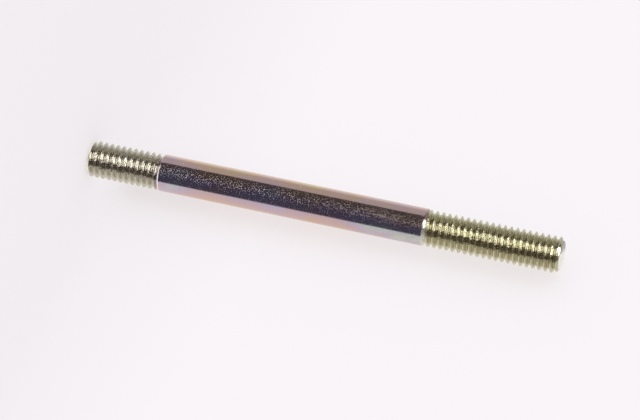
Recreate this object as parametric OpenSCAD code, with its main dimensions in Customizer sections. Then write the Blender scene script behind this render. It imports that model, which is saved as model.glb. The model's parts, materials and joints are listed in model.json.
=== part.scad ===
// Exhaust manifold stud: a plain round shank between two rolled threads of one size.
//
// The stud stands on Z. Its short thread, which screws into the cylinder head, points down,
// and its long thread, which takes the manifold's nut, points up. The origin is on the axis,
// where the shank reaches its full diameter at the short thread's end. Millimetres.

/* [Shank] */
// Diameter of the plain shank
shank_d = 9.525; // [9.525:0.005:14]
// Length of the shank at its full diameter
shank_len = 69.4; // [20:0.1:200]
// Angle between the axis and the cone that ends the shank at each thread
cone_angle = 52; // [30:1:75]

/* [Threads] */
// Diameter over the crests of both threads
crest_d = 9.4; // [8.5:0.05:9.45]
// Pitch of both threads, which is sixteen turns to the inch
pitch = 1.5875; // [1.25:0.0125:1.75]
// Angle between the two flanks of a thread
thread_angle = 60; // [55:5:60]
// Length of the short thread, from its end face to the shank's full diameter
short_len = 19.4; // [10:0.1:60]
// Length of the long thread, from its end face to the shank's full diameter
long_len = 35; // [10:0.1:60]
// Direction, about the axis, in which the crest of the short thread meets its end face
short_start = 123; // [0:1:359]
// Direction, about the axis, in which the crest of the long thread meets its end face
long_start = 44; // [0:1:359]

/* [Tips] */
// Diameter of the flat face at each end
tip_d = 7.4; // [5:0.1:8]
// Angle between the axis and the chamfer around each end face
tip_angle = 45; // [30:1:60]

/* [Hidden] */

shank_r = shank_d / 2;
crest_r = crest_d / 2;
tip_r = tip_d / 2;

// The thread's outline along one pitch: a crest flat of an eighth of the pitch and a root
// flat of a quarter, with straight flanks between them. Each corner is [height, radius].
crest_flat = pitch / 8;
root_flat = pitch / 4;
flank_len = (pitch - crest_flat - root_flat) / 2;
root_r = crest_r - flank_len / tan(thread_angle / 2);
outline = [
    [-crest_flat / 2, crest_r],
    [crest_flat / 2, crest_r],
    [crest_flat / 2 + flank_len, root_r],
    [crest_flat / 2 + flank_len + root_flat, root_r],
];
corners = len(outline);

// Steps in one turn of a thread, and around the turned surfaces
thread_steps = 30;
round_steps = 96;

// The shank's cones run on below the thread's root by this much, so no step shows there
cone_sink = 0.1;
cone_foot_r = root_r - cone_sink;
cone_len = (shank_r - cone_foot_r) / tan(cone_angle);

// Corner number i of the outline, counted on from turn to turn, at step j around the axis
function thread_point(bottom, start, i, j) =
    let (
        corner = outline[i % corners],
        angle = start + 360 * j / thread_steps,
        height = bottom + pitch * (floor(i / corners) + j / thread_steps) + corner[0]
    )
    [corner[1] * cos(angle), corner[1] * sin(angle), height];

// A right-hand threaded rod of whole turns, standing on the height given. Its surface is a
// grid of corners up the rod by steps around it, and each turn joins the next one after its
// last step. Triangles from a point on the axis close each end.
module threaded_rod(bottom, turns, start) {
    rows = corners * turns;
    function id(i, j) = j < thread_steps ? i * thread_steps + j : (i + corners) * thread_steps;
    points = [
        for (i = [0:rows]) for (j = [0:thread_steps - 1]) thread_point(bottom, start, i, j),
        [0, 0, bottom],
        [0, 0, bottom + pitch * turns],
    ];
    low_centre = (rows + 1) * thread_steps;
    high_centre = low_centre + 1;
    low_rim = [
        for (j = [0:thread_steps]) id(0, j),
        for (i = [corners - 1:-1:1]) id(i, 0),
    ];
    high_rim = [
        for (j = [0:thread_steps - 1]) id(rows, j),
        for (i = [rows - 1:-1:rows - corners]) id(i, thread_steps - 1),
    ];
    function next(rim, k) = rim[(k + 1) % len(rim)];
    faces = [
        for (i = [0:rows - 1]) for (j = [0:thread_steps - 1])
            if (j < thread_steps - 1 || i + corners < rows)
                each [
                    [id(i, j), id(i + 1, j), id(i, j + 1)],
                    [id(i + 1, j), id(i + 1, j + 1), id(i, j + 1)],
                ],
        for (k = [0:len(low_rim) - 1]) [low_centre, low_rim[k], next(low_rim, k)],
        for (k = [0:len(high_rim) - 1]) [high_centre, next(high_rim, k), high_rim[k]],
    ];
    polyhedron(points, faces);
}

// One threaded end, pointing down: its flat face is at z = -length, and it runs on into the
// shank above z = 0. The thread is cut to length, with its chamfer, out of a longer rod.
module threaded_end(length, start) {
    turns = ceil(length / pitch) + 2;
    blank_r = crest_r + 1;
    chamfer_len = (blank_r - tip_r) / tan(tip_angle);
    inner_top = 4 * pitch;
    intersection() {
        threaded_rod(-length - pitch, turns, start);
        rotate_extrude($fn = round_steps) polygon([
            [0, -length],
            [tip_r, -length],
            [blank_r, -length + chamfer_len],
            [blank_r, inner_top],
            [0, inner_top],
        ]);
    }
}

module shank() {
    rotate_extrude($fn = round_steps) polygon([
        [0, -cone_len],
        [cone_foot_r, -cone_len],
        [shank_r, 0],
        [shank_r, shank_len],
        [cone_foot_r, shank_len + cone_len],
        [0, shank_len + cone_len],
    ]);
}

module stud() {
    color("#9c9284") union() {
        shank();
        threaded_end(short_len, short_start);
        translate([0, 0, shank_len]) rotate([180, 0, 0]) threaded_end(long_len, -long_start);
    }
}

stud();
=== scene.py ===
# %% [markdown]
# # A plated exhaust stud, made from one surface
#
# An exhaust manifold is held to a cylinder head by studs. The short thread of this stud
# screws into the head, the plain shank passes through the manifold, and a nut runs down
# the long thread. It is one piece of steel: a rod with two rolled threads, plated with
# bright zinc and dipped in a yellow chromate.
#
# The stud stands on its short thread, with the origin on the axis, where the shank reaches
# its full diameter at the short thread.

import json
import math

import bmesh
import bpy
import numpy as np
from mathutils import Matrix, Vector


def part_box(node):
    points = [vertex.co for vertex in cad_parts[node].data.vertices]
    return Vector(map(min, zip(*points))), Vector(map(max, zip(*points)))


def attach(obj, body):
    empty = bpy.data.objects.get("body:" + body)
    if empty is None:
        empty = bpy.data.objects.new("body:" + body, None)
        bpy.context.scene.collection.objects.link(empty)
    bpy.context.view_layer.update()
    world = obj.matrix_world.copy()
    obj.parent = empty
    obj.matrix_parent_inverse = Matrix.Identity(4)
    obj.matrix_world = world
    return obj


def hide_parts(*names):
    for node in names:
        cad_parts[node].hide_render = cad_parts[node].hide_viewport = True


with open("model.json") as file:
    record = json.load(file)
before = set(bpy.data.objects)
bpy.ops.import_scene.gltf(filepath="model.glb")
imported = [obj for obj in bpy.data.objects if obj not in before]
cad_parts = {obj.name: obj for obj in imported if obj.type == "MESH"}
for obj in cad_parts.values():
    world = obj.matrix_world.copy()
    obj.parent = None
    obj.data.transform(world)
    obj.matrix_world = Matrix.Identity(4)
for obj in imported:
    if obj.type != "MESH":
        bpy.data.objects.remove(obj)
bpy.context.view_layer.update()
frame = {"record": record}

# %% [markdown]
# Every length here is in metres. The overall size, the shank and the threads' crests come
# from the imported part. What is left is the form of the thread, which is the common
# coarse thread of three eighths of an inch: sixteen turns to the inch, with flanks that
# meet at sixty degrees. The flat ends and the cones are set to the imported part's too.

# %% Sizes
MM = 0.001
INCH = 25.4 * MM
low_corner, high_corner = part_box("stud")
foot_z, tip_z = low_corner.z, high_corner.z
mounts = {mount["name"]: mount["dims"] for mount in frame["record"]["mounts"]}
shank_radius = mounts["shank"]["r_mm"] * MM
shank_length = mounts["shank"]["length_mm"] * MM
crest_radius = mounts["nut_thread"]["r_mm"] * MM

PITCH = INCH / 16
HALF_FLANK_ANGLE = math.radians(30)
CREST_FLAT = PITCH / 8
TIP_RADIUS = 3.7 * MM
CONE_ANGLE = math.radians(52)
print("overall length:", round((tip_z - foot_z) / MM, 2), "mm, pitch:", round(PITCH / MM, 4), "mm")

# %% [markdown]
# A rolled thread has no sharp corners, because the metal is pressed into shape and not cut.
# Two small helpers round the place where two surfaces meet. They take whole arrays, so one
# call works out the radius at every point of the stud.

# %% Rounded corners
def soft_max(a, b, width):
    """The larger of a and b, with the corner where they cross rounded over `width`.
    With h = 1 - |a - b| / width, and never below zero, it adds width * h * h / 4."""
    h = np.maximum(width - np.abs(a - b), 0) / width
    return np.maximum(a, b) + width * h * h / 4


def soft_min(a, b, width):
    """The smaller of a and b, with the same rounded corner: soft_max turned over."""
    return -soft_max(-a, -b, width)


print("a corner rounded over 1 mm is filled by", soft_max(0.0, 0.0, 1.0), "mm at its middle")

# %% [markdown]
# The thread's outline along the axis is one groove, repeated at every pitch. At a distance
# w from the middle of the nearest crest, the crest is a narrow flat, then a straight flank
# goes in at thirty degrees to the radius, and the root is a round hollow, as thread rolls
# leave it. Turning this outline while it climbs one pitch in each turn makes the helix.
#
# A Screw modifier could turn such an outline too, but the ends of the thread would then
# have to be cut and joined with Booleans. Here the stud is one function instead, with a
# radius for each angle and height, so the threads and the shank share one closed skin.

# %% Thread
CREST_ROUNDING = 0.22 * MM
ROOT_DEPTH = 1.05 * MM
ROOT_ROUNDING = 0.5 * MM


def groove_depth(w):
    """Depth below the crests at w from a crest's middle: the flank's straight line
    (|w| - half the flat) / tan(30 degrees), with a rounded corner at the crest and root."""
    flank = (np.abs(w) - CREST_FLAT / 2) / math.tan(HALF_FLANK_ANGLE)
    return soft_min(soft_max(flank, 0, CREST_ROUNDING), ROOT_DEPTH, ROOT_ROUNDING)


def crest_height(angle, crest_at_back):
    """Height of one crest, which rises a pitch in each turn of `angle` (a right-hand
    thread). `crest_at_back` is its height where the angle is half a turn."""
    return crest_at_back + PITCH * (angle - math.pi) / (2 * math.pi)


def thread_radius(angle, z, crest_at_back):
    """Radius of an endless thread: the crests' radius less the groove's depth."""
    turns = (z - crest_height(angle, crest_at_back)) / PITCH
    w = (turns - np.round(turns)) * PITCH
    return crest_radius - groove_depth(w)


SHORT_CREST = -17.56 * MM
LONG_CREST = 70.073 * MM
print("groove depth:", round(float(groove_depth(PITCH / 2)) / MM, 3), "mm")

# %% [markdown]
# Three turned forms meet the threads. The shank ends in a short cone at each thread, where
# the rolls stopped. Each end of the stud has a chamfer that cuts the first turns down, so
# that a nut starts easily. The flat end face has a slightly rounded rim. Where forms join,
# the larger radius stays, and where one is cut by another, the smaller radius stays.

# %% Shank and ends
SHANK_EDGE = 0.16 * MM
RUNOUT_ROUNDING = 0.12 * MM
CHAMFER_ROUNDING = 0.15 * MM
RIM = 0.3 * MM
RIM_STEP = 0.22 * MM


def blank_radius(z):
    """Radius of the shank, and of the cones that fall away from it at both threads: past
    the shank it is less by the distance beyond its edge * tan(cone angle)."""
    beyond = np.maximum(-z, z - shank_length)
    return soft_min(shank_radius - beyond * math.tan(CONE_ANGLE), shank_radius, SHANK_EDGE)


def end_radius(height):
    """Radius that an end allows at a height above its face: the tip's radius + the height,
    which is a chamfer at forty-five degrees, less a quarter-round rim of
    step * (1 - square root of (1 - (1 - t)^2)), where t goes from 0 to 1 over the rim."""
    t = np.clip(height / RIM, 0, 1)
    return TIP_RADIUS - RIM_STEP * (1 - np.sqrt(1 - (1 - t) ** 2)) + height


def stud_radius(angle, z):
    """Radius of the whole stud: thread cut by the chamfer, joined to the shank."""
    crest = np.where(z < shank_length / 2, SHORT_CREST, LONG_CREST)
    height = np.minimum(z - foot_z, tip_z - z)
    thread = soft_min(thread_radius(angle, z, crest), end_radius(height), CHAMFER_ROUNDING)
    thread = np.where(height <= 0, TIP_RADIUS - RIM_STEP, thread)
    return np.minimum(soft_max(thread, blank_radius(z), RUNOUT_ROUNDING), shank_radius)


samples = np.array([foot_z, shank_length / 2, tip_z])
print("radius at foot, mid-shank and tip:", np.round(stud_radius(0.0, samples) / MM, 3), "mm")

# %% [markdown]
# The surface is a grid of rows up the stud by columns around it. A level row cuts across a
# helix, and its corners would come out ragged. So on the threads the rows climb with the
# helix, and each one follows the same line of the outline all the way. They are packed
# closer at the crest and the root, which are round, than on the straight flanks. At the end
# of a threaded zone the climbing rows are cut off level, and level rows take over.

# %% Rows and columns
COLUMNS = 128
OUTLINE_ROWS = np.array([-0.44, -0.38, -0.31, -0.22, -0.13, -0.085, -0.05, 0,
                         0.05, 0.085, 0.13, 0.22, 0.31, 0.38, 0.44, 0.5])
angles = np.linspace(0, 2 * math.pi, COLUMNS + 1)


def level_rows(heights):
    """One level row at each height."""
    return np.repeat(np.asarray(heights)[:, None], COLUMNS + 1, axis=1)


def climbing_rows(bottom, top, crest_at_back):
    """Rows that climb a pitch in each turn, held between two heights: row i lies at
    crest + pitch * (turn + outline position + angle / full turn)."""
    first = crest_height(0, crest_at_back)
    lowest = math.floor((bottom - first) / PITCH) - 2
    highest = math.ceil((top - first) / PITCH) + 2
    offsets = (np.arange(lowest, highest)[:, None] + OUTLINE_ROWS[None, :]).ravel()
    heights = first + PITCH * (offsets[:, None] + angles[None, :] / (2 * math.pi))
    return np.clip(heights, bottom, top)


print("columns:", COLUMNS, "rows to a pitch:", len(OUTLINE_ROWS))

# %% [markdown]
# The cones are only a millimetre long, so level rows lie close together there, from
# `CONE_ROOM` outside the shank's edge to `EDGE_ROOM` inside it. The plain shank needs few.

# %% Surface of the stud
CONE_ROOM = 1.0 * MM
EDGE_ROOM = 0.3 * MM
FINE_STEP = 0.045 * MM
SHANK_ROWS = 26
fine = np.arange(FINE_STEP, CONE_ROOM + EDGE_ROOM, FINE_STEP)
heights = np.concatenate([
    climbing_rows(foot_z, -CONE_ROOM, SHORT_CREST),
    level_rows(-CONE_ROOM + fine),
    level_rows(np.linspace(EDGE_ROOM, shank_length - EDGE_ROOM, SHANK_ROWS)),
    level_rows(shank_length + CONE_ROOM - fine[::-1]),
    climbing_rows(shank_length + CONE_ROOM, tip_z, LONG_CREST),
])
radii = stud_radius(angles[None, :], heights)
print("rows:", len(heights), "radius from", round(radii.min() / MM, 3),
      "to", round(radii.max() / MM, 3), "mm")

# %% [markdown]
# The flat end faces are rings of the same grid that shrink to a point on the axis. Then the
# grid becomes a mesh, with each point at radius * cos(angle), radius * sin(angle) and its
# height. Points that fall together, at the seam, at the two middles and where rows were cut
# off level, are made one, and triangles that lost a corner are dropped. That leaves a
# closed skin.

# %% End faces
RINGS = np.array([0.0, 0.4, 0.7, 0.88, 0.96])


def end_rings(z, rim, shares):
    """Rings of an end face at height z, whose radii are shares of the rim's radius."""
    return np.full((len(shares), COLUMNS + 1), z), shares[:, None] * rim[None, :]


low_z, low_r = end_rings(foot_z, radii[0], RINGS)
high_z, high_r = end_rings(tip_z, radii[-1], RINGS[::-1])
grid_z = np.concatenate([low_z, heights, high_z])
grid_r = np.concatenate([low_r, radii, high_r])
print("rows with the end faces:", len(grid_z))

# %% Grid to mesh
WELD = 1e-7
WELD_SHIFT = 0.31831


def welded(points, faces):
    """Points in the same cell of a very fine lattice made one, and triangles with two
    equal corners removed. The lattice is shifted, so that no cell's edge falls on a round
    number."""
    keys = np.floor(points / WELD + WELD_SHIFT).astype(np.int64)
    _, kept, place = np.unique(keys, axis=0, return_index=True, return_inverse=True)
    faces = place.ravel()[faces]
    a, b, c = faces.T
    return kept, faces[(a != b) & (b != c) & (c != a)]


def grid_faces(rows, columns):
    """Two triangles for each cell of the grid, with their outer side facing out."""
    i, j = np.meshgrid(np.arange(rows - 1), np.arange(columns - 1), indexing="ij")
    corner = (i * columns + j).ravel()
    right, above, across = corner + 1, corner + columns, corner + columns + 1
    return np.concatenate([np.stack([corner, right, across], 1), np.stack([corner, across, above], 1)])


def make_piece(name, points, faces):
    """A smooth-shaded mesh object at the origin, from arrays of points and faces."""
    mesh = bpy.data.meshes.new(name)
    mesh.from_pydata(points, [], faces)
    mesh.polygons.foreach_set("use_smooth", np.ones(len(faces), bool))
    piece = bpy.data.objects.new(name, mesh)
    bpy.context.scene.collection.objects.link(piece)
    return piece


print("triangles before welding:", len(grid_faces(*grid_r.shape)))

# %% The stud
around = np.broadcast_to(angles[None, :], grid_r.shape)
points = np.stack([grid_r * np.cos(around), grid_r * np.sin(around), grid_z], -1).reshape(-1, 3)
kept, faces = welded(points, grid_faces(*grid_r.shape))
points = points[kept]
stud = make_piece("threaded_stud", points, faces)

mesh_check = bmesh.new()
mesh_check.from_mesh(stud.data)
print("triangles:", len(faces), "open edges:", sum(not e.is_manifold for e in mesh_check.edges),
      "volume:", round(mesh_check.calc_volume(signed=True) / MM**3, 1), "mm3")
mesh_check.free()

# %% [markdown]
# Some measures go with each point, for the plating to read: how deep it lies in a thread's
# groove, whether it belongs to a thread or to the shank, and whether it lies on the end
# face of the long thread. They could be worked out from the place in the material too, but
# a thread's helix would take many nodes there, and here it is known already.

# %% Measures kept on the points
THREAD_START = 0.3 * MM
THREAD_BLEND = 0.4 * MM
END_FACE_BLEND = 0.1 * MM


def point_measure(name, values):
    """Keeps one number for each point of the stud, as a named attribute."""
    measure = stud.data.attributes.new(name, "FLOAT", "POINT")
    measure.data.foreach_set("value", values.astype(np.float32))


point_radius = np.hypot(points[:, 0], points[:, 1])
point_z = points[:, 2]
beyond_shank = np.maximum(-point_z, point_z - shank_length)
point_measure("groove", np.clip((crest_radius - point_radius) / ROOT_DEPTH, 0, 1))
point_measure("threaded", np.clip((beyond_shank - THREAD_START) / THREAD_BLEND, 0, 1))
point_measure("end_face", np.clip((point_z - tip_z) / END_FACE_BLEND + 1.0, 0, 1))
print("points that carry measures:", len(points))

# %% [markdown]
# A ring of painted highlight runs round the shank's edge at the short thread, and a weaker and wider one
# round the cone at the long thread: they stand for the glint of these edges, and are drawn as pale matt
# scuffs of bare zinc. Both are strong on the side of +X. On the other side the ring on the edge is
# faint, and the ring on the cone is gone.

# %% Edges with a painted highlight, drawn as scuffs
EDGE_HIGHLIGHT_HEIGHT = 0.05 * MM
EDGE_HIGHLIGHT_REACH = 0.25 * MM
FAINTEST_EDGE_HIGHLIGHT = 0.08
CONE_HIGHLIGHT_HEIGHT = shank_length + 0.4 * MM
CONE_HIGHLIGHT_REACH = 0.6 * MM
CONE_HIGHLIGHT = 0.3


def highlight_scuff_ring(height, reach):
    """A ring around the stud at a height: 2 - 2 * distance / reach, between 0 and 1."""
    return np.clip(2 - 2 * np.abs(point_z - height) / reach, 0, 1)


towards_x = points[:, 0] / np.maximum(point_radius, MM)
# The painted highlight is set by side: the first slope fades the ring towards -X, and the second weakens
# it a little at +X itself.
edge_highlight_side = np.clip(0.7 + 1.5 * towards_x, FAINTEST_EDGE_HIGHLIGHT, 1) * np.clip(2.4 - 1.8 * towards_x, 0, 1)
edge_scuff_and_highlight = highlight_scuff_ring(EDGE_HIGHLIGHT_HEIGHT, EDGE_HIGHLIGHT_REACH) * edge_highlight_side
cone_highlight_side = np.clip(1 + 1.6 * towards_x, 0, 2)
cone_scuff_and_highlight = CONE_HIGHLIGHT * highlight_scuff_ring(CONE_HIGHLIGHT_HEIGHT, CONE_HIGHLIGHT_REACH) * cone_highlight_side
point_measure("scuff_and_highlight", np.maximum(edge_scuff_and_highlight, cone_scuff_and_highlight))
print("measures on each point:", [a.name for a in stud.data.attributes if a.data_type == "FLOAT"])

# %% [markdown]
# ## Zinc plating with a yellow chromate
#
# Bright zinc is a mirror of very small crystals. The chromate over it is a clear film,
# about as thick as a wave of light, so it has no paint colour of its own: it turns the
# metal's reflections straw, rose, lilac and pale green as its thickness changes. On the
# threads the film is thicker and more yellow.
#
# A material is a small network of nodes. One function adds a node of any kind, and gives
# back its output, ready to be linked to the next one. Inputs go by name or by number. In a
# Map Range node, 1 and 2 are the range that goes in, and 3 and 4 the range that comes out,
# each 0 to 1 where it isn't given.

# %% Helpers for materials
def colour(hex_code):
    """An sRGB hex colour turned into the linear one that shaders use: up to 0.04045 a part
    is divided by 12.92, and above it is ((part + 0.055) / 1.055) to the power 2.4."""
    parts = [int(hex_code[i:i + 2], 16) / 255 for i in (1, 3, 5)]
    return [p / 12.92 if p <= 0.04045 else ((p + 0.055) / 1.055) ** 2.4 for p in parts] + [1.0]


def node(tree, kind, inputs=None, out=0, **settings):
    """Adds one node and gives back one of its outputs. `inputs` maps a socket's name or
    number to a value, or to another node's output, which is then linked to it."""
    made = tree.nodes.new("ShaderNode" + kind)
    for key, value in settings.items():
        setattr(made, key, value)
    for key, value in (inputs or {}).items():
        if isinstance(value, bpy.types.NodeSocket):
            tree.links.new(value, made.inputs[key])
        else:
            made.inputs[key].default_value = value
    return made.outputs[out] if made.outputs else made


def empty_tree(owner):
    """The node network of a material or world, with nothing in it yet."""
    owner.use_nodes = True
    owner.node_tree.nodes.clear()
    return owner.node_tree


print("mid grey, as shaders use it:", np.round(colour("#808080"), 3))

# %% Measures of place for the plating
plating = bpy.data.materials.new("yellow_chromated_zinc")
tree = empty_tree(plating)
place = node(tree, "TexCoord", out="Object")
height = node(tree, "SeparateXYZ", {0: place}, out="Z")
outward = node(tree, "VectorMath", {0: place, 1: (1, 1, 0)}, operation="MULTIPLY")
outward = node(tree, "VectorMath", {0: outward}, operation="NORMALIZE")
threaded = node(tree, "Attribute", out="Fac", attribute_name="threaded")
groove = node(tree, "Attribute", out="Fac", attribute_name="groove")
scuff_and_highlight = node(tree, "Attribute", out="Fac", attribute_name="scuff_and_highlight")
end_face = node(tree, "Attribute", out="Fac", attribute_name="end_face")
print("material:", plating.name)

# %% [markdown]
# The film is thickest on the side of the shank that nearly faces the camera and on the side opposite,
# and thinnest a quarter of a turn away, at the top and bottom edges of the view: this is painted
# reflection, which puts into the film the tints that the shank's edges mirror. It is thicker all round
# near the short thread, and near the long one on the two thin sides, most on the side of +X, which is
# painted reflection too. It goes slowly thicker and thinner along the shank. Cloudy patches a few
# millimetres wide break up the bands. The sum, from 0 to 1, picks the colour.
#
# A real film's colours could come from its thickness in the shader, but a ramp of colours
# is easier to match and the exported model keeps it.

# %% Film around the shank
# Painted reflection: the film is thick on the side that nearly faces the camera and on its opposite, and
# thin at the top and bottom edges of the view.
PAINTED_REFLECTION_TURN = math.radians(15)
PAINTED_REFLECTION_THIN_SIDES = 0.42
painted_reflection_direction = (math.sin(PAINTED_REFLECTION_TURN), -math.cos(PAINTED_REFLECTION_TURN), 0)
painted_reflection_side = node(tree, "VectorMath", {0: outward, 1: painted_reflection_direction}, "Value", operation="DOT_PRODUCT")
painted_reflection_side = node(tree, "Math", {0: painted_reflection_side}, operation="ABSOLUTE")
painted_reflection_side = node(tree, "Math", {0: painted_reflection_side, 1: PAINTED_REFLECTION_THIN_SIDES}, operation="MAXIMUM")
print("film on the thin sides:", PAINTED_REFLECTION_THIN_SIDES, "of the thick sides'")

# %% Cloudy patches
PATCH_WIDTH = 3.4 * MM
PATCH_LENGTH = 7.5 * MM
PATCH_SLANT = math.radians(-25)
patch_place = node(tree, "Mapping", {"Vector": place, "Scale": (PATCH_WIDTH, PATCH_WIDTH, PATCH_LENGTH),
                                     "Rotation": (0, PATCH_SLANT, 0)}, vector_type="TEXTURE")
patches = node(tree, "TexNoise", {"Vector": patch_place, "Scale": 1.0, "Detail": 3.0, "Roughness": 0.5})
patches = node(tree, "MapRange", {"Value": patches, 1: 0.3, 2: 0.7, 3: -1.0, 4: 1.0})
print("patches:", PATCH_WIDTH / MM, "by", PATCH_LENGTH / MM, "mm")

# %% Film at the ends of the shank
FOOT_ZONE = (9 * MM, 1 * MM)
FOOT_FILM = 0.4
TIP_ZONE = (50 * MM, 66 * MM)
TIP_PAINTED_REFLECTION = (-0.2, 0.38)
TIP_PAINTED_REFLECTION_ONE_SIDED = 0.18
near_foot = node(tree, "MapRange", {"Value": height, 1: FOOT_ZONE[0], 2: FOOT_ZONE[1], 4: FOOT_FILM},
                 interpolation_type="SMOOTHSTEP")
near_tip = node(tree, "MapRange", {"Value": height, 1: TIP_ZONE[0], 2: TIP_ZONE[1]},
                interpolation_type="SMOOTHSTEP")
# Painted reflection too: near the long thread the film grows at the top and bottom edges of the view,
# and more on the side of +X.
across = node(tree, "SeparateXYZ", {0: outward}, "X")
flank = node(tree, "Math", {0: across}, operation="ABSOLUTE")
flank = node(tree, "MapRange", {"Value": flank, 1: 0.1, 2: 0.7, 3: TIP_PAINTED_REFLECTION[0], 4: TIP_PAINTED_REFLECTION[1]})
flank = node(tree, "Math", {0: across, 1: TIP_PAINTED_REFLECTION_ONE_SIDED, 2: flank}, operation="MULTIPLY_ADD")
print("extra film at the foot:", FOOT_FILM, "and at the tip:", TIP_PAINTED_REFLECTION)

# %% Thickness of the film
THICKEST = 0.78
PATCH_FILM = 0.18
RUN_LENGTH = 26 * MM
RUN_MIDDLE = 16 * MM
RUN_FILM = -0.09
FILM_START = 0.10
steepness = node(tree, "Math", {0: THICKEST, 1: near_foot}, operation="SUBTRACT")
film = node(tree, "Math", {0: painted_reflection_side, 1: steepness, 2: near_foot}, operation="MULTIPLY_ADD")
film = node(tree, "Math", {0: near_tip, 1: flank, 2: film}, operation="MULTIPLY_ADD")
film = node(tree, "Math", {0: patches, 1: PATCH_FILM, 2: film}, operation="MULTIPLY_ADD")
run = node(tree, "Math", {0: height, 1: RUN_MIDDLE}, operation="SUBTRACT")
run = node(tree, "Math", {0: run, 1: 2 * math.pi / RUN_LENGTH}, operation="MULTIPLY")
run = node(tree, "Math", {0: run}, operation="COSINE")
film = node(tree, "Math", {0: run, 1: RUN_FILM, 2: film}, operation="MULTIPLY_ADD")
film = node(tree, "Math", {0: film, 1: FILM_START}, operation="SUBTRACT")
print("the film comes and goes every", round(RUN_LENGTH / MM), "mm along the shank")

# %% Colours of the film
FILM_COLOURS = {0.0: "#c3b488", 0.1: "#c5ae94", 0.2: "#c7a99a", 0.4: "#c5aaa6", 0.6: "#c1a8b2",
                0.74: "#bbabbf", 0.9: "#bab8bb", 1.0: "#bec1be"}
film_tint = node(tree, "ValToRGB", {"Fac": film})
ramp = film_tint.node.color_ramp
while len(ramp.elements) < len(FILM_COLOURS):
    ramp.elements.new(1.0)
for stop, (thickness, hex_code) in zip(ramp.elements, FILM_COLOURS.items()):
    stop.position, stop.color = thickness, colour(hex_code)
print("film colours from thin to thick:", list(FILM_COLOURS.values()))

# %% [markdown]
# The long thread came out yellower than the short one. In the grooves the colour is a little yellower
# and darker, and the darkness is painted shade.

# %% Film on the threads
# Pairs of crest and root colours: the root's darker colour is painted shade.
SHORT_THREAD_COLOURS = ("#ccc8bc", "#bfb8aa")
LONG_THREAD_COLOURS = ("#ccc9b0", "#beb698")
YELLOW_ZONE = (30 * MM, 70 * MM)
PATCH_YELLOW = 0.2
yellowing = node(tree, "MapRange", {"Value": height, 1: YELLOW_ZONE[0], 2: YELLOW_ZONE[1]},
                 interpolation_type="SMOOTHSTEP")
yellowing = node(tree, "Math", {0: patches, 1: PATCH_YELLOW, 2: yellowing}, operation="MULTIPLY_ADD",
                 use_clamp=True)
crest_tint, shaded_root_tint = [
    node(tree, "Mix", {0: yellowing, 6: colour(short), 7: colour(long)}, 2, data_type="RGBA")
    for short, long in zip(SHORT_THREAD_COLOURS, LONG_THREAD_COLOURS)]
thread_tint = node(tree, "Mix", {0: groove, 6: crest_tint, 7: shaded_root_tint}, 2, data_type="RGBA")
tint = node(tree, "Mix", {0: threaded, 6: film_tint, 7: thread_tint}, 2, data_type="RGBA")
print("crests and roots, short thread:", SHORT_THREAD_COLOURS, "long thread:", LONG_THREAD_COLOURS)

# %% [markdown]
# Zinc grows in crystals, and some of them are rough: they scatter light, which gives the
# shank its fine sparkle. The real ones are far too fine to show, so they are drawn as
# coarse as they need to be. A little more than one in four is rough, and only in part.

# %% Crystals
CRYSTAL = 0.21 * MM
SMOOTH_CRYSTALS = (0.70, 0.74)
CRYSTAL_SHARE = (0.25, 0.5)
crystals = node(tree, "TexVoronoi", {"Vector": place, "Scale": 1 / CRYSTAL}, "Color",
                voronoi_dimensions="3D")
is_rough = node(tree, "SeparateColor", {0: crystals}, "Red")
is_rough = node(tree, "MapRange", {"Value": is_rough, 1: SMOOTH_CRYSTALS[0], 2: SMOOTH_CRYSTALS[1]})
rough_share = node(tree, "SeparateColor", {0: crystals}, "Green")
rough_share = node(tree, "MapRange", {"Value": rough_share, 3: CRYSTAL_SHARE[0], 4: CRYSTAL_SHARE[1]})
rough_share = node(tree, "Math", {0: rough_share, 1: is_rough}, operation="MULTIPLY")
print("crystals:", CRYSTAL / MM, "mm wide, share of rough ones:", round(1 - sum(SMOOTH_CRYSTALS) / 2, 2))

# %% [markdown]
# Rub marks are rough too. They are thin and run along the shank, near the long thread, so
# they are a noise that is stretched along the axis.

# %% Rub marks
RUB_WIDTH = 0.3 * MM
RUB_LENGTH = 5 * MM
RUB_ZONE = (42 * MM, 58 * MM)
RUB_SHARE = 0.36
rub_place = node(tree, "Mapping", {"Vector": place, "Scale": (RUB_WIDTH, RUB_WIDTH, RUB_LENGTH)},
                 vector_type="TEXTURE")
rubs = node(tree, "TexNoise", {"Vector": rub_place, "Scale": 1.0, "Detail": 2.0})
rub_share = node(tree, "MapRange", {"Value": height, 1: RUB_ZONE[0], 2: RUB_ZONE[1], 4: RUB_SHARE},
                 interpolation_type="SMOOTHSTEP")
rubs = node(tree, "MapRange", {"Value": rubs, 1: 0.57, 2: 0.62, 4: rub_share})
shank_only = node(tree, "MapRange", {"Value": threaded, 3: 1.0, 4: 0.0})
rubs = node(tree, "Math", {0: rubs, 1: shank_only}, operation="MULTIPLY")
rough_share = node(tree, "Math", {0: rough_share, 1: scuff_and_highlight}, operation="MAXIMUM")
rough_share = node(tree, "Math", {0: rough_share, 1: rubs}, operation="MAXIMUM")
print("rub marks:", RUB_WIDTH / MM, "by", RUB_LENGTH / MM, "mm")

# %% [markdown]
# Rough spots keep part of the film's colour. On the rings of painted highlight the colour is the pale of
# bare zinc. The end face of the long thread is painted dark on the side of -X, which is painted shade,
# and near white on the other, which is a painted highlight.

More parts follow.
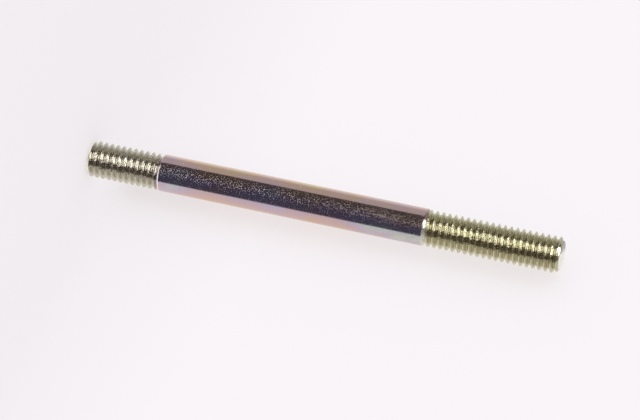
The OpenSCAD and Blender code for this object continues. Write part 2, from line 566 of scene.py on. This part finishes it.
# %% Colours of rough spots, the painted highlight rings and the painted light on the end face
ROUGH_COLOUR = "#b9b291"
ROUGH_COLOUR_SHARE = 0.4
SCUFF_HIGHLIGHT_COLOUR = "#efecea"
WORN_HIGHLIGHT_COLOUR = "#e9e6e2"
FULL_HIGHLIGHT_AT = 0.3
END_FACE_SHADE_AND_HIGHLIGHT = ("#62555e", "#f6f4ec")
END_FACE_SHADE_EDGE = (-1.8 * MM, -0.6 * MM)
END_FACE_SHADE_PATCHES = 0.8 * MM
rough_tint = node(tree, "Mix", {0: ROUGH_COLOUR_SHARE, 6: tint, 7: colour(ROUGH_COLOUR)}, 2,
                  data_type="RGBA")
rough_tint = node(tree, "Mix", {0: scuff_and_highlight, 6: rough_tint, 7: colour(SCUFF_HIGHLIGHT_COLOUR)}, 2,
                  data_type="RGBA")
# Painted shade and painted highlight on the end face of the long thread: dark on the side of -X, near
# white on the rest, with a ragged edge from the patches.
painted_end_face_light = node(tree, "SeparateXYZ", {0: place}, "X")
painted_end_face_light = node(tree, "Math", {0: patches, 1: END_FACE_SHADE_PATCHES, 2: painted_end_face_light}, operation="MULTIPLY_ADD")
painted_end_face_light = node(tree, "MapRange", {"Value": painted_end_face_light, 1: END_FACE_SHADE_EDGE[0], 2: END_FACE_SHADE_EDGE[1]})
painted_end_face_light = node(tree, "Mix", {0: painted_end_face_light, 6: colour(END_FACE_SHADE_AND_HIGHLIGHT[0]), 7: colour(END_FACE_SHADE_AND_HIGHLIGHT[1])}, 2,
             data_type="RGBA")
smooth_tint = node(tree, "Mix", {0: end_face, 6: tint, 7: painted_end_face_light}, 2, data_type="RGBA")
worn_highlight = node(tree, "MapRange", {"Value": scuff_and_highlight, 1: 0.0, 2: FULL_HIGHLIGHT_AT})
smooth_tint = node(tree, "Mix", {0: worn_highlight, 6: smooth_tint, 7: colour(WORN_HIGHLIGHT_COLOUR)}, 2, data_type="RGBA")
print("scuff_highlights:", SCUFF_HIGHLIGHT_COLOUR, "stain:", END_FACE_SHADE_AND_HIGHLIGHT[0])

# %% [markdown]
# The rolls leave the sides of a thread a little wavy, and the reflections in them break up.
# The real waves are finer and lower, and are drawn larger here so that they show.
#
# Bright zinc is a metal with a roughness of about 0.1. On the threads it is a little rougher. Rough
# spots are duller, and the rings of painted highlight are a powdery white, which a metal can't be: they
# are duller still, and matt where they are strongest.

# %% Yellow chromated zinc
WAVE_LENGTH = 1.1 * MM
WAVE_HEIGHT = 0.13 * MM
SHANK_ROUGHNESS = 0.09
THREAD_ROUGHNESS = 0.17
ROUGH_SPOT_ROUGHNESS = 0.34
SCUFF_HIGHLIGHT_ROUGHNESS = 0.6
waves = node(tree, "TexNoise", {"Vector": place, "Scale": 1 / WAVE_LENGTH, "Detail": 1.0})
waviness = node(tree, "Bump", {"Strength": threaded, "Distance": WAVE_HEIGHT, "Height": waves})
roughness = node(tree, "MapRange", {"Value": threaded, 3: SHANK_ROUGHNESS, 4: THREAD_ROUGHNESS})
smooth_zinc = node(tree, "BsdfPrincipled", {"Base Color": smooth_tint, "Metallic": 1.0,
                                            "Roughness": roughness, "Normal": waviness})
dullness = node(tree, "MapRange", {"Value": scuff_and_highlight, 3: ROUGH_SPOT_ROUGHNESS, 4: SCUFF_HIGHLIGHT_ROUGHNESS})
mirroring = node(tree, "MapRange", {"Value": scuff_and_highlight, 3: 1.0, 4: 0.0})
rough_zinc = node(tree, "BsdfPrincipled", {"Base Color": rough_tint, "Metallic": mirroring,
                                           "Roughness": dullness})
zinc = node(tree, "MixShader", {0: rough_share, 1: smooth_zinc, 2: rough_zinc})
node(tree, "OutputMaterial", {"Surface": zinc})
stud.data.materials.append(plating)
print("nodes in the plating:", len(tree.nodes))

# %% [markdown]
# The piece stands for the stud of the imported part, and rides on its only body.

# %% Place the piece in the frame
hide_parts("stud")
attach(stud, "root")
print(stud.name, "replaces stud and rides on root")

# %% [markdown]
# ## Camera
#
# The stud stands, but it is shown lying, so the camera is rolled: the stud's axis runs
# across the view and dips to the right. A long lens far away keeps both ends nearly the
# same size. The lens and the sensor are in millimetres, as on a real camera.

# %% Camera
ELEVATION = math.radians(12.956)
ROLL = math.radians(11.775)
DISTANCE = 0.863
AIM_HEIGHT = 42.0 * MM
AIM_DROP = 1.14 * MM
LENS = 193.4
SENSOR_WIDTH = 36

towards_camera = np.array([0, -math.cos(ELEVATION), math.sin(ELEVATION)])
along_stud = np.array([0, math.sin(ELEVATION), math.cos(ELEVATION)])
across_stud = np.array([-1.0, 0, 0])
view_right = math.cos(ROLL) * along_stud + math.sin(ROLL) * across_stud
view_up = -math.sin(ROLL) * along_stud + math.cos(ROLL) * across_stud
camera_place = np.array([AIM_DROP, 0, AIM_HEIGHT]) + DISTANCE * towards_camera

camera_data = bpy.data.cameras.new("camera")
camera_data.lens = LENS
camera_data.sensor_width = SENSOR_WIDTH
camera_data.clip_start, camera_data.clip_end = 0.05, 50
camera = bpy.data.objects.new("camera", camera_data)
bpy.context.scene.collection.objects.link(camera)
placing = np.eye(4)
placing[:3] = np.stack([view_right, view_up, towards_camera, camera_place], axis=1)
camera.matrix_world = placing.T
bpy.context.scene.camera = camera
print("camera at", np.round(camera_place, 3))

# %% [markdown]
# ## Studio
#
# The light comes evenly from all round, as in a white tent, so matt surfaces and the shadow
# on the paper are soft. Where the camera or a mirror looks past everything, the world has
# the paper's own pale colour instead.

# %% World
PALE = "#faf5f9"
scene = bpy.context.scene
scene.view_settings.view_transform = "Standard"
scene.world = bpy.data.worlds.new("soft_white_tent")
scene.world.cycles.sampling_method = "NONE"
tree = empty_tree(scene.world)
seen = node(tree, "LightPath", out="Is Camera Ray")
for kind_of_ray in ("Is Glossy Ray", "Is Transmission Ray"):
    also_seen = node(tree, "LightPath", out=kind_of_ray)
    seen = node(tree, "Math", {0: seen, 1: also_seen}, operation="ADD", use_clamp=True)
light = node(tree, "Background", {"Color": (1, 1, 1, 1), "Strength": 1.0})
backdrop = node(tree, "Background", {"Color": colour(PALE), "Strength": 1.0})
both = node(tree, "MixShader", {0: seen, 1: light, 2: backdrop})
node(tree, "OutputWorld", {"Surface": both})
print("world:", scene.world.name, "seen as", PALE)

# %% [markdown]
# The stud stands on pale matt paper, and a second sheet of it stands upright just behind
# the stud, to catch its soft shadow. Most of the paper's tone shines by itself, and only a
# share of each colour takes the light, so the shadow stays pale.
#
# The paper is a little darker close to the stud's foot, which is painted shade. The upright sheet shows
# from its front only, so that it never hides the stud, and it fades out just above the floor and towards
# its top, so that no line shows where it ends.

# %% Paper
SHADE = "#f3eef2"
SHADOW_SHARE = (0.30, 0.315, 0.365)
SHADE_HEIGHT = 45 * MM
SHADE_RADII = (100 * MM, 200 * MM)
SHEET_HEIGHT = 220 * MM
FADES = ((1 * MM, 14 * MM, 1.0, 0.0), (140 * MM, SHEET_HEIGHT, 0.0, 1.0))
paper = {}
for name in ("floor", "upright_sheet"):
    paper[name] = bpy.data.materials.new("white_paper_" + name)
    tree = empty_tree(paper[name])
    place = node(tree, "TexCoord", out="Object")
    above_floor = node(tree, "SeparateXYZ", {0: place}, "Z")
    # Painted shade: the tone is darker near the stud's foot, and pale higher up and further away.
    lighter = node(tree, "MapRange", {"Value": above_floor, 1: foot_z, 2: foot_z + SHADE_HEIGHT})
    from_stud = node(tree, "VectorMath", {0: place, 1: (1, 1, 0)}, operation="MULTIPLY")
    from_stud = node(tree, "VectorMath", {0: from_stud}, "Value", operation="LENGTH")
    far = node(tree, "MapRange", {"Value": from_stud, 1: SHADE_RADII[0], 2: SHADE_RADII[1]},
               interpolation_type="SMOOTHSTEP")
    lighter = node(tree, "Math", {0: lighter, 1: far}, operation="MAXIMUM")
    tone = node(tree, "Mix", {0: lighter, 6: colour(SHADE), 7: colour(PALE)}, 2, data_type="RGBA")
    shaded = node(tree, "VectorMath", {0: tone, 1: SHADOW_SHARE}, operation="MULTIPLY")
    even = node(tree, "VectorMath", {0: tone, 1: shaded}, operation="SUBTRACT")
    matte = node(tree, "BsdfDiffuse", {"Color": shaded})
    even = node(tree, "Emission", {"Color": even, "Strength": 1.0})
    face = node(tree, "AddShader", {0: matte, 1: even})
    hidden = node(tree, "NewGeometry", out="Backfacing")
    if name == "upright_sheet":
        for start, end, clear_below, clear_above in FADES:
            fade = node(tree, "MapRange", {"Value": above_floor, 1: foot_z + start, 2: foot_z + end,
                                           3: clear_below, 4: clear_above},
                        interpolation_type="SMOOTHSTEP")
            hidden = node(tree, "Math", {0: hidden, 1: fade}, operation="MAXIMUM")
    face = node(tree, "MixShader", {0: hidden, 1: face, 2: node(tree, "BsdfTransparent")})
    node(tree, "OutputMaterial", {"Surface": face})
print("papers:", list(paper))

# %% Floor and upright sheet
def studio_sheet(name, centre, side_a, side_b):
    """A flat sheet spanned by two half-sides, facing along side_a x side_b. It is seen by
    the camera only, so it neither lights the stud nor shows in it."""
    centre, side_a, side_b = (np.array(v, float) for v in (centre, side_a, side_b))
    corners = [centre - side_a - side_b, centre + side_a - side_b, centre + side_a + side_b,
               centre - side_a + side_b]
    sheet = make_piece(name, [tuple(c) for c in corners], [(0, 1, 2, 3)])
    sheet.data.materials.append(paper[name])
    sheet.visible_diffuse = sheet.visible_glossy = sheet.visible_shadow = False


FLOOR_HALF = 6
SHEET_HALF_WIDTH = 200 * MM
SHEET_GAP = 2.2 * MM
UP = np.array([-0.732, -0.681, 0])
sheet_across = np.array([-UP[1], UP[0], 0])
sheet_centre = -UP * (shank_radius + SHEET_GAP) + np.array([0, 0, foot_z + SHEET_HEIGHT / 2])
studio_sheet("floor", (0, 0, foot_z), (FLOOR_HALF, 0, 0), (0, FLOOR_HALF, 0))
studio_sheet("upright_sheet", sheet_centre, sheet_across * SHEET_HALF_WIDTH, (0, 0, SHEET_HEIGHT / 2))
print("the upright sheet stands", SHEET_GAP / MM, "mm behind the shank")

# %% [markdown]
# A mirror shows what stands round it, so its looks are made of its surroundings. A wide
# dome, which only reflections see, holds them: the paper that the stud is shown on and a
# pale wall beyond it, both lighter on the side of the short thread, and the dark room on
# the side of the camera, with lamps in it. The shank looks between the lamps, so it keeps
# a dark band. The threads' flanks are tilted and look up and down, straight at them.
#
# Real lamps and walls would do this too, but a dome costs one object, lights nothing else,
# and each part of it can be set by itself. It is a sphere: radius * cos(tilt) * cos(turn),
# radius * cos(tilt) * sin(turn) and radius * sin(tilt).

# %% Dome
DOME_RADIUS = 3.0
DOME_COLUMNS = 64
DOME_ROWS = 32
turn, tilt = np.meshgrid(np.linspace(0, 2 * math.pi, DOME_COLUMNS + 1),
                         np.linspace(-math.pi / 2, math.pi / 2, DOME_ROWS + 1))
dome_points = np.stack([np.cos(tilt) * np.cos(turn), np.cos(tilt) * np.sin(turn), np.sin(tilt)], -1)
dome_points = (DOME_RADIUS * dome_points).reshape(-1, 3)
dome_kept, dome_faces = welded(dome_points, grid_faces(*turn.shape))
dome = make_piece("studio_dome", dome_points[dome_kept], dome_faces)
dome.visible_camera = dome.visible_diffuse = dome.visible_shadow = False

walls = bpy.data.materials.new("studio_walls")
walls.cycles.emission_sampling = "NONE"
tree = empty_tree(walls)
direction = node(tree, "VectorMath", {0: node(tree, "TexCoord", out="Object")}, operation="NORMALIZE")
upward = node(tree, "SeparateXYZ", {0: direction}, "Z")
print("triangles in the dome:", len(dome_faces))

# %% [markdown]
# Each region of the dome is one side of a plane through the stud: the dot product of the
# direction with the plane's normal goes from low to high over a soft edge. Upward is the
# direction's height alone: -1 under the stud, 0 at its level and 1 above it.

# %% Regions of the dome
def seen_past(degrees, slant=0.0):
    """Normal of the plane whose edge is turned by an angle from the camera's side towards
    the upper side of the view. With a slant, the edge turns further the higher it goes."""
    a = math.radians(degrees + 90)
    return (-math.sin(a), -math.cos(a), -slant)


REGIONS = {
    "paper": (tuple(-UP), 0.24, 0.39),
    "depth": (tuple(-UP), 0.40, 0.95),
    "rise": (tuple(UP), 0.0, 0.55),
    "wall": ((-0.211, 0.808, -0.550), -0.03, 0.03),
    "warm": (seen_past(10), -0.5, 0.6),
    "low_lamp_start": (seen_past(-11), -0.14, 0.10),
    "low_lamp_end": (seen_past(43), -0.12, 0.12),
    "high_lamp_start": (seen_past(-5, 0.35), -0.06, 0.06),
    "high_lamp_end": (seen_past(27, 0.5), -0.08, 0.08),
    "above_table": (tuple(UP), 0.0, 0.06),
    "behind": ((0, 1, 0), -0.08, -0.03),
    "in_front": ((0, -1, 0), 0.12, 0.20),
    "one_side": ((-1, 0, 0), -0.04, 0.02),
    "around_front": ((0, -1, 0), -0.35, -0.20),
    "above_threads": ((-0.382, 0.413, 0.826), 0.27, 0.33),
}
region = {}
for name, (normal, low, high) in REGIONS.items():
    dot = node(tree, "VectorMath", {0: direction, 1: normal}, "Value", operation="DOT_PRODUCT")
    region[name] = node(tree, "MapRange", {"Value": dot, 1: low, 2: high},
                        interpolation_type="SMOOTHSTEP")
print("regions of the dome:", list(region))

# %% [markdown]
# Two lamps stand one above the other, with a gap between them at the level that the shank
# mirrors. For each, the table gives its strength, how far up it starts and is full, and how
# far up it begins to fall and ends. Its two sides are regions. Overhead are a weak lamp in
# front and a small strong spot behind, for the chamfer of the long thread.

# %% Lamps
LAMPS = {
    "low_lamp": (6.6, (-0.72, -0.50), (-0.46, -0.37)),
    "high_lamp": (2.1, (-0.10, -0.02), (0.74, 0.90)),
}
OVERHEAD = (0.91, 0.96)
OVERHEAD_LAMP = 0.5
OVERHEAD_SPOT = 22.0
lamp = 0.0
for name, (strength, (start, full), (fall, end)) in LAMPS.items():
    rising = node(tree, "MapRange", {"Value": upward, 1: start, 2: full, 4: strength},
                  interpolation_type="SMOOTHSTEP")
    falling = node(tree, "MapRange", {"Value": upward, 1: fall, 2: end, 3: 1, 4: 0},
                   interpolation_type="SMOOTHSTEP")
    band = node(tree, "Math", {0: rising, 1: falling}, operation="MULTIPLY")
    band = node(tree, "Math", {0: band, 1: region[name + "_start"]}, operation="MULTIPLY")
    before_end = node(tree, "Math", {0: 1.0, 1: region[name + "_end"]}, operation="SUBTRACT")
    lamp = node(tree, "Math", {0: band, 1: before_end, 2: lamp}, operation="MULTIPLY_ADD")
overhead = node(tree, "Math", {0: region["in_front"], 1: OVERHEAD_LAMP}, operation="MULTIPLY")
spot = node(tree, "Math", {0: region["behind"], 1: region["one_side"]}, operation="MULTIPLY")
overhead = node(tree, "Math", {0: spot, 1: OVERHEAD_SPOT, 2: overhead}, operation="MULTIPLY_ADD")
overhead = node(tree, "MapRange", {"Value": upward, 1: OVERHEAD[0], 2: OVERHEAD[1], 4: overhead},
                interpolation_type="SMOOTHSTEP")
lamp = node(tree, "Math", {0: overhead, 1: region["above_table"], 2: lamp}, operation="MULTIPLY_ADD")
print("lamps:", {name: values[0] for name, values in LAMPS.items()})

# %% [markdown]
# The colours of the dome are amounts of light, so they are written as such and not as hex
# codes. The room is cool and dark at the level that the shank mirrors, and warmer and less
# dark away from it, where the threads and the cones look.

# %% Dark room
COOL_ROOM = (0.079, 0.079, 0.115, 1)
WARM_ROOM = (0.091, 0.085, 0.081, 1)
ROOM_ASIDE = (0.190, 0.152, 0.118, 1)
ASIDE = (0.15, 0.35)
LAMP_COLOUR = (0.96, 1.0, 1.05)
from_shank = node(tree, "Math", {0: upward, 1: -math.sin(ELEVATION)}, operation="SUBTRACT")
from_shank = node(tree, "Math", {0: from_shank}, operation="ABSOLUTE")
aside = node(tree, "MapRange", {"Value": from_shank, 1: ASIDE[0], 2: ASIDE[1]},
             interpolation_type="SMOOTHSTEP")
room = node(tree, "Mix", {0: region["warm"], 6: COOL_ROOM, 7: WARM_ROOM}, 2, data_type="RGBA")
room = node(tree, "Mix", {0: aside, 6: room, 7: ROOM_ASIDE}, 2, data_type="RGBA")
lamp_light = node(tree, "VectorMath", {0: LAMP_COLOUR, "Scale": lamp}, operation="SCALE")
room = node(tree, "VectorMath", {0: room, 1: lamp_light}, operation="ADD")
print("light from the room where the shank looks:", COOL_ROOM[:3])

# %% [markdown]
# The paper is nearly even, and a little lighter and warmer where the stud faces it squarely.
# The wall beyond it grows darker as it rises from the paper. Both are lighter low down and
# darker high up, and a strip above the threads is lighter again. The two ends of the dome,
# straight below and above, are dark towards the front, for the cones and flanks that look
# there.

# %% Paper and wall in the dome
WALL_LIGHT = (1.05, 0.62)
PAPER_LIGHT = (0.92, 0.99)
WARM_PAPER = (1.0, 0.955, 0.91, 1)
LOW_GAIN = 1.35
HIGH_GAIN = 0.68
STRIP_GAIN = 0.22
LOW_END_DARK = 0.9
HIGH_END_DARK = 0.6
pale = node(tree, "MapRange", {"Value": region["rise"], 3: WALL_LIGHT[0], 4: WALL_LIGHT[1]})
paper_light = node(tree, "MapRange", {"Value": region["depth"], 3: PAPER_LIGHT[0], 4: PAPER_LIGHT[1]})
pale = node(tree, "Mix", {0: region["paper"], 2: pale, 3: paper_light}, 0)
low_gain = node(tree, "MapRange", {"Value": upward, 1: -0.2, 2: -0.6, 3: 1.0, 4: LOW_GAIN})
high_gain = node(tree, "MapRange", {"Value": upward, 1: 0.0, 2: 0.25, 3: 1.0, 4: HIGH_GAIN})
low_end = node(tree, "MapRange", {"Value": upward, 1: -0.60, 2: -0.90, 4: LOW_END_DARK},
               interpolation_type="SMOOTHSTEP")
high_end = node(tree, "MapRange", {"Value": upward, 1: 0.65, 2: 0.90, 4: HIGH_END_DARK},
                interpolation_type="SMOOTHSTEP")
high_end = node(tree, "Math", {0: high_end, 1: region["in_front"]}, operation="MULTIPLY")
ends_dark = node(tree, "Math", {0: low_end, 1: region["around_front"], 2: high_end},
                 operation="MULTIPLY_ADD")
ends_pale = node(tree, "Math", {0: 1.0, 1: ends_dark}, operation="SUBTRACT")
gain = node(tree, "Math", {0: low_gain, 1: high_gain}, operation="MULTIPLY")
gain = node(tree, "Math", {0: gain, 1: ends_pale}, operation="MULTIPLY")
strip = node(tree, "Math", {0: region["above_threads"], 1: region["paper"]}, operation="MULTIPLY")
gain = node(tree, "Math", {0: strip, 1: STRIP_GAIN, 2: gain}, operation="MULTIPLY_ADD")
pale = node(tree, "Math", {0: pale, 1: gain}, operation="MULTIPLY")
warmth = node(tree, "Mix", {0: region["depth"], 6: (1, 1, 1, 1), 7: WARM_PAPER}, 2, data_type="RGBA")
pale = node(tree, "VectorMath", {0: warmth, "Scale": pale}, operation="SCALE")
is_pale = node(tree, "Math", {0: region["wall"], 1: region["paper"]}, operation="MAXIMUM")
level = node(tree, "Mix", {0: is_pale, 6: room, 7: pale}, 2, data_type="RGBA")
node(tree, "OutputMaterial", {"Surface": node(tree, "Emission", {"Color": level, "Strength": 1.0})})
dome.data.materials.append(walls)
print("nodes in the dome's material:", len(tree.nodes))
